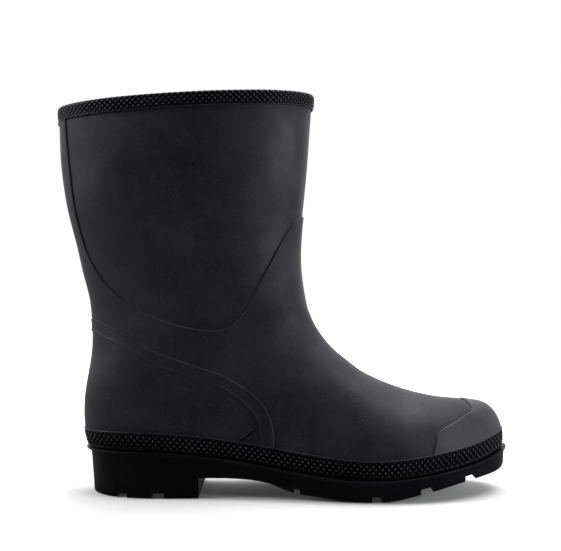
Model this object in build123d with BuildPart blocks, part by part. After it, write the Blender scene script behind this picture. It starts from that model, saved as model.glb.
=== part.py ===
from build123d import *
from math import hypot, sqrt
import os

# Short rubber rain boot for the right foot, seen from its outer side along +Y.
# Millimetres. +X points to the toe, +Y to the inner side of the foot, +Z up.
# The origin is on the ground, under the middle of the boot's overall box.

# ---------------------------------------------------------------- driving sizes
FAR = 240.0              # reach of a cutting shape that has to pass the whole boot
HALF_DEPTH = 90.0        # half reach across the boot, past the widest point

SHELL_WALL = 2.2         # rubber sheet of the leg and foot
LINING_WALL = 1.2        # knitted sock
OVERLAY_WALL = 1.0       # second rubber sheet over the foot
STRAP_WALL = 0.9         # ankle strap, on top of the overlay
CAP_WALL = 0.8           # toe cap, on top of the overlay
FOXING_WALL = 1.0        # knurled strip above the sole
STIFFENER_WALL = 0.8     # toe puff and heel counter
FACING_WALL = 0.7        # tape inside the top opening
GLUE_GAP = 0.05          # kept between layers that are stuck together
LOOSE_GAP = 0.3          # kept round the loose footbed

RIM_BAND_HEIGHT = 10.0
RIM_BAND_WALL = 1.8
RIM_TOP_COVER = 1.2      # thickness of the binding over the top edge
TAB_DROP = 2.5            # how far the tab hangs below the binding
TAB_HALF_WIDTH = 10.0
FACING_DROP = 30.0

FOXING_LOW = 1.2         # the foxing strip's edges, above the feather line
FOXING_HIGH = 13.2
LIP_HEIGHT = 1.8
LIP_HEEL = 3.0           # how far the lip stands out of the sole wall
LIP_TOE = 3.4

HEEL_BREAST = -56.5      # front face of the heel, at the ground
GROOVE_DEPTH = 3.6       # of the gaps between lugs

BOARD_WALL = 2.0
FOAM_WALL = 3.5
COVER_WALL = 0.8
SHANK_WIDTH = 14.0
SHANK_WALL = 1.6
FILLER_WALL = 2.5
RECESS_CLEARANCE = 0.15

# Pieces let into the sole
FILLER_INSET = -9.0      # from the sole's wall
FILLER_REAR = -4.0
SHANK_REAR = -100.0
SHANK_FRONT = -7.0
CORE_MIDDLE = -95.0
CORE_LENGTH = 50.0
CORE_WIDTH = 38.0
CORE_CORNER = 12.0
CORE_LOW = 9.0
CORE_HIGH = 28.0

# The feather line is where the upper meets the sole, seen from the side: (x, z).
HEEL_SEAT = 32.0
FEATHER = [(-88, HEEL_SEAT), (-43, 28.3), (-4, 22.3), (25, 17.7), (56, 15.2), (88, 17), (121.6, 21.8),
           (147.7, 28), (165, 34.4)]

# The rim lies in a plane that rises towards the front: (x, z) of its two ends.
RIM_BACK = (-160.6, 269.4)
RIM_FRONT = (23.4, 279.7)

# Cross-sections of the bare rubber upper. Each is an oval in a plane that stands on the side
# view, between a front (or top) point and a back (or bottom) point. The row gives front x, z;
# back x, z; half width on the outer and on the inner side of the foot; place of the widest line,
# from back (0) to front (1); roundness of the front and of the back part; lean of the surface
# towards +X.
LEG_SECTIONS = [
    (22.8, 290.0, -158.3, 278.0, 48.0, 48.0, 0.50, 2.15, 2.15, 0),
    (22.1, 281.0, -157.6, 269.5, 48.0, 48.0, 0.50, 2.15, 2.15, 0),
    (19.3, 240.0, -155.7, 231.0, 47.5, 47.5, 0.50, 2.15, 2.15, 0),
    (15.5, 200.0, -150.3, 196.0, 46.0, 46.0, 0.50, 2.15, 2.15, 0),
    (13.0, 170.0, -143.7, 169.0, 43.5, 43.5, 0.50, 2.15, 2.15, 0),
    (13.8, 150.0, -138.6, 148.0, 41.5, 41.5, 0.50, 2.15, 2.15, 0),
    (16.7, 133.0, -134.2, 128.0, 40.5, 40.5, 0.50, 2.15, 2.15, 0),
]
FOOT_SECTIONS = [
    (18.2, 127.0, -133.9, 100.3, 40.0, 40.0, 0.49, 2.10, 2.20, 0),
    (21.2, 119.6, -139.1, 62.2, 39.5, 39.5, 0.47, 2.10, 2.30, 0),
    (24.4, 113.6, -130.2, 24.0, 39.0, 39.0, 0.46, 2.10, 2.40, 0),
    (28.9, 107.2, -90.8, 8.0, 38.5, 38.5, 0.46, 2.10, 2.40, 0),
    (33.9, 101.3, -47.0, 6.0, 39.0, 37.5, 0.46, 2.10, 2.40, 0),
    (39.2, 96.2, -17.7, 0.0, 41.0, 38.0, 0.46, 2.05, 2.40, 0),
    (45.4, 91.3, 8.9, -6.0, 44.0, 41.0, 0.46, 2.00, 2.30, 0),
    (52.2, 86.2, 34.7, -9.0, 47.3, 46.3, 0.46, 2.00, 2.20, 0),
    (60.3, 81.2, 60.0, -10.0, 50.0, 50.0, 0.46, 2.00, 2.20, 0),
    (75.0, 74.2, 75.0, -9.0, 50.3, 51.0, 0.46, 2.05, 2.20, 0),
    (90.0, 68.8, 90.0, -6.0, 48.0, 49.6, 0.46, 2.10, 2.20, 0),
]
TOE_SECTIONS = [
    (105.0, 65.3, 105.0, -3.0, 43.4, 46.4, 0.47, 2.15, 2.20, 0.15),
    (118.0, 63.6, 118.0, 0.0, 37.4, 41.8, 0.48, 2.20, 2.20, 0.30),
    (128.0, 62.8, 128.0, 3.0, 31.8, 37.0, 0.48, 2.25, 2.20, 0.45),
    (136.0, 61.9, 136.0, 6.0, 26.4, 32.2, 0.49, 2.25, 2.20, 0.60),
    (143.0, 60.7, 143.0, 10.0, 20.6, 26.8, 0.50, 2.25, 2.20, 0.75),
    (148.0, 57.3, 148.0, 14.5, 15.4, 21.6, 0.52, 2.20, 2.20, 0.86),
    (151.6, 52.4, 151.6, 20.5, 10.8, 16.8, 0.55, 2.15, 2.10, 0.92),
    (154.0, 46.5, 154.0, 27.0, 6.6, 12.0, 0.55, 2.15, 2.10, 0.92),
]

MIDDLE_FLAT = 1.5        # half width of the narrow flat where the two sides of an oval meet

# Plan of the sole's wall at its top: (x, y), from the middle of the heel round the outer side.
SOLE_PLAN = [(-135.4, 0), (-124.2, -24), (-98, -36), (-60, -36.8), (-20, -38.5), (20, -45),
             (60, -50.2), (92, -47.3), (118, -38.4), (138, -26), (151.8, -11), (157.1, 5),
             (151.8, 21.5), (138, 34), (118, 42.4), (90, 48.8), (58, 50), (20, 43), (-20, 34.5),
             (-60, 34), (-98, 36), (-124.2, 24)]
SOLE_TAPER = 2.4         # how much narrower the sole is at the ground, on each side

# Underside of the forepart and waist, seen from the side: (x, z), from the heel's breast.
UNDERSIDE = [(-55, 13.8), (-23, 13.2), (-8, 10.6), (6, 5.5), (20, 3.2), (35, 1.2), (50, 0)]
TOE_SPRING = [(68, 0), (88, 3.2), (102, 6.0), (125, 11.0), (140, 13.6), (157, 17.4), (161, 24)]

# Gaps between the lugs along each side of the tread: x of the rear face, x of the front face,
# and how far the gap's inner end is from the foot's middle line.
LUG_GAPS = [(-114, -106.5, 19), (-89, -80, 19), (8, 12, 27), (60.5, 67.5, 32), (94, 103, 28),
            (125.5, 133.5, 15)]
GAP_MIDDLE_SLOPE = 0.03  # the middle line drifts to the inner side towards the toe

# Edge of the overlay across the leg, seen from the side, from the back strip to the front.
OVERLAY_EDGE = [(-134.4, 169.1), (-129.1, 158), (-120.7, 146.4), (-96.4, 127.5), (-62.3, 116.4), (-45, 114.4),
                (-32.5, 118.9), (-18.8, 140), (-5.1, 166.5), (3.8, 181.8), (15.7, 193.2)]
BACK_STRIP_HALF_WIDTH = 22.5
BACK_REACH = 50.0        # how far the strip and the tab may reach forward and back from the rim's back

# The ankle strap, seen from the side: its upper and its lower edge, from the back to the waist.
STRAP_UPPER = [(-150, 121.6), (-123, 119.3), (-87.5, 101.3), (-49.9, 87.6), (-18.8, 70.2),
               (-8.8, 57.7), (-4.9, 38.3)]
STRAP_LOWER = [(-150, 113), (-123, 109.7), (-87.5, 93.8), (-49.9, 79.6), (-27.5, 66.5),
               (-17, 53), (-13.8, 37.8)]

# Stiffeners, seen from the side: the outline of each, and of its slightly larger pocket.
PUFF_OUTLINE = [(112, 22), (175, 22), (175, 80), (112, 80)]
PUFF_POCKET = [(111.9, 21.9), (176, 21.9), (176, 81), (111.9, 81)]
PUFF_RISE = 1.0          # lower edge of the toe puff, above the feather line
COUNTER_OUTLINE = [(-170, 34), (-84, 34), (-92, 54), (-118, 82), (-170, 88)]
COUNTER_POCKET = [(-171, 33.9), (-83.8, 33.9), (-91.9, 54.1), (-117.9, 82.2), (-171, 88.2)]

# Rear edge of the toe cap, seen from above, as distance from the foot's middle line: (x, y).
CAP_EDGE = [(127.9, 0), (130.7, 20), (123.8, 30), (112.7, 38), (104.8, 43), (96, 56)]
CAP_MIDDLE = 3.0


# ---------------------------------------------------------------- shared geometry
def half_oval(front, back, side, front_round, back_round):
    """Control points of a half oval from (front, 0) past (0, side) to (back, 0).

    A roundness of 2 gives an ellipse, and a larger one a squarer curve, as in a superellipse."""
    front_handle = 0.67 + 0.45 * (front_round - 2)
    back_handle = 0.67 + 0.45 * (back_round - 2)
    front_pull = 0.44 + 0.65 * (front_round - 2)
    back_pull = 0.44 + 0.65 * (back_round - 2)
    return [
        (front, 0),
        (front, side * front_handle),
        (front * front_pull, side * (1.6 - front_handle / 2)),
        (back * back_pull, side * (1.6 - back_handle / 2)),
        (back, side * back_handle),
        (back, 0),
    ]


def cross_section(row, grow):
    """The face of one cross-section, `grow` outside the bare rubber."""
    front_x, front_z, back_x, back_z, outer, inner, widest, front_round, back_round, lean = row
    length = hypot(front_x - back_x, front_z - back_z)
    along = ((front_x - back_x) / length, (front_z - back_z) / length)
    middle_x = back_x + along[0] * length * widest + grow * lean
    middle_z = back_z + along[1] * length * widest
    plane = Plane(
        origin=(middle_x, 0, middle_z),
        x_dir=(along[0], 0, along[1]),
        z_dir=(-along[1], 0, along[0]),
    )
    outward = grow * sqrt(1 - lean * lean)
    front = length * (1 - widest) + outward
    back = -length * widest - outward
    inner_width = inner + outward - MIDDLE_FLAT
    outer_width = outer + outward - MIDDLE_FLAT
    inner_side = half_oval(front, back, inner_width, front_round, back_round)
    outer_side = half_oval(front, back, outer_width, front_round, back_round)
    with BuildSketch(plane) as section:
        with BuildLine():
            right = Bezier(*[(x, y + MIDDLE_FLAT) for x, y in inner_side])
            left = Bezier(*[(x, -y - MIDDLE_FLAT) for x, y in reversed(outer_side)])
            Line(right @ 1, left @ 0)
            Line(left @ 1, right @ 0)
        make_face()
    return section.sketch.face()


def boot_form(grow):
    """The solid inside the bare upper's outer face, moved out by `grow` on every side."""
    rows = LEG_SECTIONS + FOOT_SECTIONS + TOE_SECTIONS
    with BuildPart() as form:
        loft(sections=[cross_section(row, grow) for row in rows])
    return form.part


def feather_band(low, high, rear=-FAR, front=FAR):
    """A slab across the boot that follows the feather line, from `low` to `high` above it."""
    with BuildPart() as band:
        with BuildSketch(Plane.XZ):
            with BuildLine():
                bottom_seat = Line((-FAR, HEEL_SEAT + low), (FEATHER[0][0], HEEL_SEAT + low))
                bottom = Spline(*[(x, z + low) for x, z in FEATHER], tangents=[(1, 0), (1, 0.4)])
                top_seat = Line((-FAR, HEEL_SEAT + high), (FEATHER[0][0], HEEL_SEAT + high))
                top = Spline(*[(x, z + high) for x, z in FEATHER], tangents=[(1, 0), (1, 0.4)])
                Line(bottom_seat @ 0, top_seat @ 0)
                Line(bottom @ 1, top @ 1)
            make_face()
        extrude(amount=HALF_DEPTH, both=True)
        with BuildSketch(Plane.XY.offset(-FAR)):
            with Locations(((rear + front) / 2, 0)):
                Rectangle(front - rear, 2 * HALF_DEPTH)
        extrude(amount=3 * FAR, mode=Mode.INTERSECT)
    return band.part


def above_feather(rise):
    """Everything above the feather line moved up by `rise`."""
    with BuildPart() as region:
        with BuildSketch(Plane.XZ):
            with BuildLine():
                seat = Line((-FAR, HEEL_SEAT + rise), (FEATHER[0][0], HEEL_SEAT + rise))
                edge = Spline(*[(x, z + rise) for x, z in FEATHER], tangents=[(1, 0), (1, 0.4)])
                Polyline(edge @ 1, (FAR, (edge @ 1).Y), (FAR, 2 * FAR), (-FAR, 2 * FAR), seat @ 0)
            make_face()
        extrude(amount=HALF_DEPTH, both=True)
    return region.part


def rim_slab(low, high):
    """A slab parallel to the rim plane, from `low` to `high` above it."""
    rim_length = hypot(RIM_FRONT[0] - RIM_BACK[0], RIM_FRONT[1] - RIM_BACK[1])
    along = ((RIM_FRONT[0] - RIM_BACK[0]) / rim_length, (RIM_FRONT[1] - RIM_BACK[1]) / rim_length)
    rim_plane = Plane(
        origin=((RIM_FRONT[0] + RIM_BACK[0]) / 2, 0, (RIM_FRONT[1] + RIM_BACK[1]) / 2),
        x_dir=(along[0], 0, along[1]),
        z_dir=(-along[1], 0, along[0]),
    )
    with BuildPart() as slab:
        with BuildSketch(rim_plane.offset(low)):
            Rectangle(2 * FAR, 2 * HALF_DEPTH)
        extrude(amount=high - low)
    return slab.part


def side_prism(points):
    """A prism right across the boot, with a straight-sided outline drawn on the side view."""
    with BuildPart() as prism:
        with BuildSketch(Plane.XZ):
            with BuildLine():
                Polyline(*points, close=True)
            make_face()
        extrude(amount=HALF_DEPTH, both=True)
    return prism.part


def sole_outline(offset_heel, offset_toe):
    """The sole's plan moved outwards, by one amount at the heel and another at the toe."""
    rear_x = SOLE_PLAN[0][0]
    length = max(x for x, y in SOLE_PLAN) - rear_x
    count = len(SOLE_PLAN)
    points = []
    for i in range(count):
        x, y = SOLE_PLAN[i]
        before = SOLE_PLAN[i - 1]
        after = SOLE_PLAN[(i + 1) % count]
        run = (after[0] - before[0], after[1] - before[1])
        step = hypot(*run)
        reach = offset_heel + (offset_toe - offset_heel) * (x - rear_x) / length
        points.append((x + reach * run[1] / step, y - reach * run[0] / step))
    return points


def sole_prism(offset_heel, offset_toe, low, high):
    """The sole's plan, moved outwards, from height `low` to height `high`."""
    with BuildPart() as prism:
        with BuildSketch(Plane.XY.offset(low)):
            with BuildLine():
                Spline(*sole_outline(offset_heel, offset_toe), periodic=True)
            make_face()
        extrude(amount=high - low)
    return prism.part


def finish(builder, name):
    """Labels the finished piece and writes it."""
    builder.part.label = name
    export_step(builder.part, "parts/" + name + ".step")


os.makedirs("parts", exist_ok=True)

bare_form = boot_form(0)
shell_inner = boot_form(-SHELL_WALL)
lining_outer = boot_form(-SHELL_WALL - GLUE_GAP)
cavity = boot_form(-SHELL_WALL - GLUE_GAP - LINING_WALL)
overlay_inner = boot_form(GLUE_GAP)
overlay_outer = boot_form(OVERLAY_WALL)
trim_inner = boot_form(OVERLAY_WALL + GLUE_GAP)
above_sole = above_feather(0)
above_foxing = above_feather(FOXING_HIGH + GLUE_GAP)
under_rim = rim_slab(-2 * FAR, -RIM_TOP_COVER)
under_band = rim_slab(-2 * FAR, -RIM_BAND_HEIGHT - GLUE_GAP)

# ---------------------------------------------------------------- stiffeners in the upper
pocket_outer = boot_form(-SHELL_WALL + STIFFENER_WALL + GLUE_GAP)
stiffener_outer = boot_form(-SHELL_WALL + STIFFENER_WALL)

with BuildPart() as toe_puff:
    add(stiffener_outer)
    add(shell_inner, mode=Mode.SUBTRACT)
    add(side_prism(PUFF_OUTLINE), mode=Mode.INTERSECT)
    add(above_feather(PUFF_RISE), mode=Mode.INTERSECT)
finish(toe_puff, "toe_puff")

with BuildPart() as heel_counter:
    add(stiffener_outer)
    add(shell_inner, mode=Mode.SUBTRACT)
    add(side_prism(COUNTER_OUTLINE), mode=Mode.INTERSECT)
finish(heel_counter, "heel_counter")

# ---------------------------------------------------------------- rubber upper
with BuildPart() as pockets:
    add(side_prism(PUFF_POCKET))
    add(side_prism(COUNTER_POCKET))
    add(pocket_outer, mode=Mode.INTERSECT)

with BuildPart() as upper_shell:
    add(bare_form)
    add(shell_inner, mode=Mode.SUBTRACT)
    add(pockets.part, mode=Mode.SUBTRACT)
    add(above_sole, mode=Mode.INTERSECT)
    add(under_rim, mode=Mode.INTERSECT)
finish(upper_shell, "upper_shell")

with BuildPart() as lining:
    add(lining_outer)
    add(cavity, mode=Mode.SUBTRACT)
    add(above_sole, mode=Mode.INTERSECT)
    add(under_rim, mode=Mode.INTERSECT)
finish(lining, "lining")

# ---------------------------------------------------------------- overlay on the foot and back strip
with BuildPart() as overlay_region:
    with BuildSketch(Plane.XZ):
        with BuildLine():
            edge = Spline(*OVERLAY_EDGE)
            front_corner = (FAR, (edge @ 1).Y)
            back_corner = (-FAR, (edge @ 0).Y)
            Polyline(edge @ 1, front_corner, (FAR, -FAR), (-FAR, -FAR), back_corner, edge @ 0)
        make_face()
    extrude(amount=HALF_DEPTH, both=True)
    with BuildSketch(Plane.XY):
        with Locations((RIM_BACK[0], 0)):
            Rectangle(2 * BACK_REACH, 2 * BACK_STRIP_HALF_WIDTH)
    extrude(amount=2 * FAR)

with BuildPart() as foot_overlay:
    add(overlay_outer)
    add(overlay_inner, mode=Mode.SUBTRACT)
    add(overlay_region.part, mode=Mode.INTERSECT)
    add(above_sole, mode=Mode.INTERSECT)
    add(under_band, mode=Mode.INTERSECT)
finish(foot_overlay, "foot_overlay")

# ---------------------------------------------------------------- ankle strap
with BuildPart() as strap_region:
    with BuildSketch(Plane.XZ):
        with BuildLine():
            upper = Spline(*STRAP_UPPER)
            lower = Spline(*STRAP_LOWER)
            Line(upper @ 0, lower @ 0)
            Line(upper @ 1, lower @ 1)
        make_face()
    extrude(amount=HALF_DEPTH, both=True)

with BuildPart() as ankle_strap:
    add(boot_form(OVERLAY_WALL + STRAP_WALL))
    add(trim_inner, mode=Mode.SUBTRACT)
    add(strap_region.part, mode=Mode.INTERSECT)
    add(above_foxing, mode=Mode.INTERSECT)
finish(ankle_strap, "ankle_strap")

# ---------------------------------------------------------------- toe cap
with BuildPart() as cap_region:
    with BuildSketch(Plane.XY):
        with BuildLine():
            outer_side = Spline(*[(x, CAP_MIDDLE - y) for x, y in CAP_EDGE])
            inner_side = Spline(*[(x, CAP_MIDDLE + y) for x, y in CAP_EDGE])
            Polyline(outer_side @ 1, (FAR, -HALF_DEPTH), (FAR, HALF_DEPTH), inner_side @ 1)
        make_face()
    extrude(amount=FAR)

with BuildPart() as toe_cap:
    add(boot_form(OVERLAY_WALL + CAP_WALL))
    add(trim_inner, mode=Mode.SUBTRACT)
    add(cap_region.part, mode=Mode.INTERSECT)
    add(above_foxing, mode=Mode.INTERSECT)
finish(toe_cap, "toe_cap")

# ---------------------------------------------------------------- foxing strip
with BuildPart() as foxing_band:
    add(boot_form(OVERLAY_WALL + FOXING_WALL))
    add(trim_inner, mode=Mode.SUBTRACT)
    add(feather_band(FOXING_LOW, FOXING_HIGH), mode=Mode.INTERSECT)
finish(foxing_band, "foxing_band")

# ---------------------------------------------------------------- binding of the top opening
with BuildPart() as upper_top:
    add(overlay_inner)
    add(rim_slab(-2 * FAR, -RIM_TOP_COVER + GLUE_GAP), mode=Mode.INTERSECT)

with BuildPart() as rim_band:
    add(boot_form(RIM_BAND_WALL))
    add(rim_slab(-RIM_BAND_HEIGHT, 0), mode=Mode.INTERSECT)
    add(upper_top.part, mode=Mode.SUBTRACT)
    add(cavity, mode=Mode.SUBTRACT)
finish(rim_band, "rim_band")

with BuildPart() as rim_back_tab:
    add(boot_form(RIM_BAND_WALL))
    add(trim_inner, mode=Mode.SUBTRACT)
    add(rim_slab(-RIM_BAND_HEIGHT - TAB_DROP, -RIM_BAND_HEIGHT - GLUE_GAP), mode=Mode.INTERSECT)
    with BuildSketch(Plane.XY):
        with Locations((RIM_BACK[0], 0)):
            Rectangle(2 * BACK_REACH, 2 * TAB_HALF_WIDTH)
    extrude(amount=2 * FAR, mode=Mode.INTERSECT)
finish(rim_back_tab, "rim_back_tab")

with BuildPart() as rim_facing:
    add(boot_form(-SHELL_WALL - 2 * GLUE_GAP - LINING_WALL))
    add(boot_form(-SHELL_WALL - 2 * GLUE_GAP - LINING_WALL - FACING_WALL), mode=Mode.SUBTRACT)
    add(rim_slab(-FACING_DROP, -RIM_TOP_COVER), mode=Mode.INTERSECT)
finish(rim_facing, "rim_facing")

# ---------------------------------------------------------------- inside of the foot
with BuildPart() as insole_board:
    add(boot_form(-SHELL_WALL - 2 * GLUE_GAP - LINING_WALL))
    add(feather_band(GLUE_GAP, BOARD_WALL), mode=Mode.INTERSECT)
finish(insole_board, "insole_board")

footbed_form = boot_form(-SHELL_WALL - LINING_WALL - LOOSE_GAP)
foam_low = BOARD_WALL + GLUE_GAP
foam_high = foam_low + FOAM_WALL

with BuildPart() as footbed_foam:
    add(footbed_form)
    add(feather_band(foam_low, foam_high), mode=Mode.INTERSECT)
finish(footbed_foam, "footbed_foam")

with BuildPart() as footbed_cover:
    add(footbed_form)
    add(feather_band(foam_high + GLUE_GAP, foam_high + GLUE_GAP + COVER_WALL), mode=Mode.INTERSECT)
finish(footbed_cover, "footbed_cover")

# ---------------------------------------------------------------- pieces let into the sole
with BuildPart() as forepart_filler:
    add(sole_prism(FILLER_INSET, FILLER_INSET, 0, 2 * HEEL_SEAT))
    add(feather_band(-FILLER_WALL, -GLUE_GAP, rear=FILLER_REAR), mode=Mode.INTERSECT)
finish(forepart_filler, "forepart_filler")

with BuildPart() as shank:
    add(feather_band(-SHANK_WALL, -GLUE_GAP, rear=SHANK_REAR, front=SHANK_FRONT))
    with BuildSketch(Plane.XY):
        Rectangle(2 * FAR, SHANK_WIDTH)
    extrude(amount=FAR, mode=Mode.INTERSECT)
finish(shank, "shank")

with BuildPart() as heel_core:
    with BuildSketch(Plane.XY.offset(CORE_LOW)):
        with Locations((CORE_MIDDLE, 0)):
            RectangleRounded(CORE_LENGTH, CORE_WIDTH, CORE_CORNER)
    extrude(amount=CORE_HIGH - CORE_LOW)
finish(heel_core, "heel_core")

# ---------------------------------------------------------------- outsole
with BuildPart() as tread_side:
    with BuildSketch(Plane.XZ):
        with BuildLine():
            heel = Polyline((-FAR, 0), (HEEL_BREAST, 0), UNDERSIDE[0])
            Spline(*UNDERSIDE, tangents=[(1, 0), (1, 0)])
            Line(UNDERSIDE[-1], TOE_SPRING[0])
            spring = Spline(*TOE_SPRING, tangents=[(1, 0), (0.3, 1)])
            Polyline(spring @ 1, (TOE_SPRING[-1][0], FAR), (-FAR, FAR), heel @ 0)
        make_face()
    extrude(amount=HALF_DEPTH, both=True)

with BuildPart() as lug_gaps:
    with BuildSketch(Plane.XY.offset(-FAR)):
        for rear, front, inner in LUG_GAPS:
            middle = (rear + front) / 2
            drift = GAP_MIDDLE_SLOPE * max(middle, 0)
            for side in (-1, 1):
                with Locations((middle, drift + side * (inner + HALF_DEPTH / 2))):
                    Rectangle(front - rear, HALF_DEPTH)
    extrude(amount=2 * FAR)
    add(tread_side.part.moved(Location((0, 0, GROOVE_DEPTH))), mode=Mode.SUBTRACT)

with BuildPart() as sole_lip:
    add(sole_prism(LIP_HEEL, LIP_TOE, 0, 2 * HEEL_SEAT))
    add(feather_band(-LIP_HEIGHT, -GLUE_GAP), mode=Mode.INTERSECT)

with BuildPart() as sole_recesses:
    recess_inset = FILLER_INSET + RECESS_CLEARANCE
    add(sole_prism(recess_inset, recess_inset, 0, 2 * HEEL_SEAT))
    add(
        feather_band(-FILLER_WALL - GLUE_GAP, LIP_HEIGHT, rear=FILLER_REAR - RECESS_CLEARANCE),
        mode=Mode.INTERSECT,
    )
    with BuildSketch(Plane.XY.offset(CORE_LOW - GLUE_GAP)):
        with Locations((CORE_MIDDLE, 0)):
            RectangleRounded(
                CORE_LENGTH + 2 * RECESS_CLEARANCE,
                CORE_WIDTH + 2 * RECESS_CLEARANCE,
                CORE_CORNER + RECESS_CLEARANCE,
            )
    extrude(amount=HEEL_SEAT)

with BuildPart() as shank_recess:
    add(
        feather_band(
            -SHANK_WALL - GLUE_GAP, LIP_HEIGHT, SHANK_REAR - RECESS_CLEARANCE, SHANK_FRONT + RECESS_CLEARANCE
        )
    )
    with BuildSketch(Plane.XY):
        Rectangle(2 * FAR, SHANK_WIDTH + 2 * RECESS_CLEARANCE)
    extrude(amount=FAR, mode=Mode.INTERSECT)

with BuildPart() as outsole:
    with BuildSketch(Plane.XY):
        with BuildLine():
            Spline(*sole_outline(-SOLE_TAPER, -SOLE_TAPER), periodic=True)
        make_face()
    with BuildSketch(Plane.XY.offset(2 * HEEL_SEAT)):
        with BuildLine():
            Spline(*sole_outline(SOLE_TAPER, SOLE_TAPER), periodic=True)
        make_face()
    loft(ruled=True)
    add(tread_side.part, mode=Mode.INTERSECT)
    add(above_feather(-LIP_HEIGHT), mode=Mode.SUBTRACT)
    add(sole_lip.part)
    add(lug_gaps.part, mode=Mode.SUBTRACT)
    add(sole_recesses.part, mode=Mode.SUBTRACT)
    add(shank_recess.part, mode=Mode.SUBTRACT)
finish(outsole, "outsole")
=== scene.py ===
import math

import bpy
import numpy as np
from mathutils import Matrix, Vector
from mathutils.bvhtree import BVHTree


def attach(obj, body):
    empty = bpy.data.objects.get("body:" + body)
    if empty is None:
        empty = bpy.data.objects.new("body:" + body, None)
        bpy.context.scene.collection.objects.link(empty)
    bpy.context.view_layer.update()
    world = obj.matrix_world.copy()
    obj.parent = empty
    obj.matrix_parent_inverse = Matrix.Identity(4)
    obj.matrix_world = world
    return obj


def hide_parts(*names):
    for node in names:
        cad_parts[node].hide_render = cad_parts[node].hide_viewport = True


# Visible model of a short rubber rain boot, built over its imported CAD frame.
# Tables and shapes are in millimetres; meshes are written in metres.
# +X points to the toe, -Y is the outer side of the foot, +Z is up.

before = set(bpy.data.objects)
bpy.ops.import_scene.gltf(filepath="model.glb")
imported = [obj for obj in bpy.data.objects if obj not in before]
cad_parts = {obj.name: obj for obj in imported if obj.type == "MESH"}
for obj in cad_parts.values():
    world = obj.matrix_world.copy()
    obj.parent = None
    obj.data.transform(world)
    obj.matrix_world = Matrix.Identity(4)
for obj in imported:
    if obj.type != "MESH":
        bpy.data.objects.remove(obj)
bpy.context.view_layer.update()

MM = 0.001
SEED = 7

# ---------- tables shared with the CAD
# Cross-sections of the bare rubber upper: front x, z; back x, z; outer and inner half width;
# place of the widest line; roundness of the front and of the back part; lean towards +X.
SECTIONS = [
    (22.8, 290, -158.3, 278, 48, 48, 0.5, 2.15, 2.15, 0),
    (22.1, 281, -157.6, 269.5, 48, 48, 0.5, 2.15, 2.15, 0),
    (19.3, 240, -155.7, 231, 47.5, 47.5, 0.5, 2.15, 2.15, 0),
    (15.5, 200, -150.3, 196, 46, 46, 0.5, 2.15, 2.15, 0),
    (13, 170, -143.7, 169, 43.5, 43.5, 0.5, 2.15, 2.15, 0),
    (13.8, 150, -138.6, 148, 41.5, 41.5, 0.5, 2.15, 2.15, 0),
    (16.7, 133, -134.2, 128, 40.5, 40.5, 0.5, 2.15, 2.15, 0),
    (18.2, 127, -133.9, 100.3, 40, 40, 0.49, 2.1, 2.2, 0),
    (21.2, 119.6, -139.1, 62.2, 39.5, 39.5, 0.47, 2.1, 2.3, 0),
    (24.4, 113.6, -130.2, 24, 39, 39, 0.46, 2.1, 2.4, 0),
    (28.9, 107.2, -90.8, 8, 38.5, 38.5, 0.46, 2.1, 2.4, 0),
    (33.9, 101.3, -47, 6, 39, 37.5, 0.46, 2.1, 2.4, 0),
    (39.2, 96.2, -17.7, 0, 41, 38, 0.46, 2.05, 2.4, 0),
    (45.4, 91.3, 8.9, -6, 44, 41, 0.46, 2, 2.3, 0),
    (52.2, 86.2, 34.7, -9, 47.3, 46.3, 0.46, 2, 2.2, 0),
    (60.3, 81.2, 60, -10, 50, 50, 0.46, 2, 2.2, 0),
    (75, 74.2, 75, -9, 50.3, 51, 0.46, 2.05, 2.2, 0),
    (90, 68.8, 90, -6, 48, 49.6, 0.46, 2.1, 2.2, 0),
    (105, 65.3, 105, -3, 43.4, 46.4, 0.47, 2.15, 2.2, 0.15),
    (118, 63.6, 118, 0, 37.4, 41.8, 0.48, 2.2, 2.2, 0.3),
    (128, 62.8, 128, 3, 31.8, 37, 0.48, 2.25, 2.2, 0.45),
    (136, 61.9, 136, 6, 26.4, 32.2, 0.49, 2.25, 2.2, 0.6),
    (143, 60.7, 143, 10, 20.6, 26.8, 0.5, 2.25, 2.2, 0.75),
    (148, 57.3, 148, 14.5, 15.4, 21.6, 0.52, 2.2, 2.2, 0.86),
    (151.6, 52.4, 151.6, 20.5, 10.8, 16.8, 0.55, 2.15, 2.1, 0.92),
    (154, 46.5, 154, 27, 6.6, 12, 0.55, 2.15, 2.1, 0.95),
    (155.1, 42, 155.1, 32, 3.2, 7.6, 0.55, 2.15, 2.1, 0.98),
    (155.4, 39, 155.4, 35, 1, 3.4, 0.55, 2.15, 2.1, 1),
]

# The feather line is where the upper meets the sole, seen from the side: (x, z).
FEATHER = [(-175, 32), (-130, 32), (-88, 32), (-43, 28.3), (-4, 22.3), (25, 17.7), (56, 15.2), (88, 17),
           (121.6, 21.8), (147.7, 28), (165, 34.4)]
RIM_BACK = (-160.6, 269.4)
RIM_FRONT = (23.4, 279.7)

SOLE_PLAN = [(-135.4, 0), (-124.2, -24), (-98, -36), (-60, -36.8), (-20, -38.5), (20, -45),
             (60, -50.2), (92, -47.3), (118, -38.4), (138, -26), (151.8, -11), (157.1, 5),
             (151.8, 21.5), (138, 34), (118, 42.4), (90, 48.8), (58, 50), (20, 43), (-20, 34.5),
             (-60, 34), (-98, 36), (-124.2, 24)]
UNDERSIDE = [(-55, 13.8), (-23, 13.2), (-8, 10.6), (6, 5.5), (20, 3.2), (35, 1.2), (50, 0), (59, 0),
             (68, 0), (88, 3.2), (102, 6), (125, 11), (140, 13.6), (157, 17.4), (163, 20)]
LUG_GAPS = [(-114, -106.5, 19), (-89, -80, 19), (8, 12, 27), (60.5, 67.5, 32), (94, 103, 28),
            (125.5, 133.5, 15)]
HEEL_BREAST = -56.5

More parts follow.
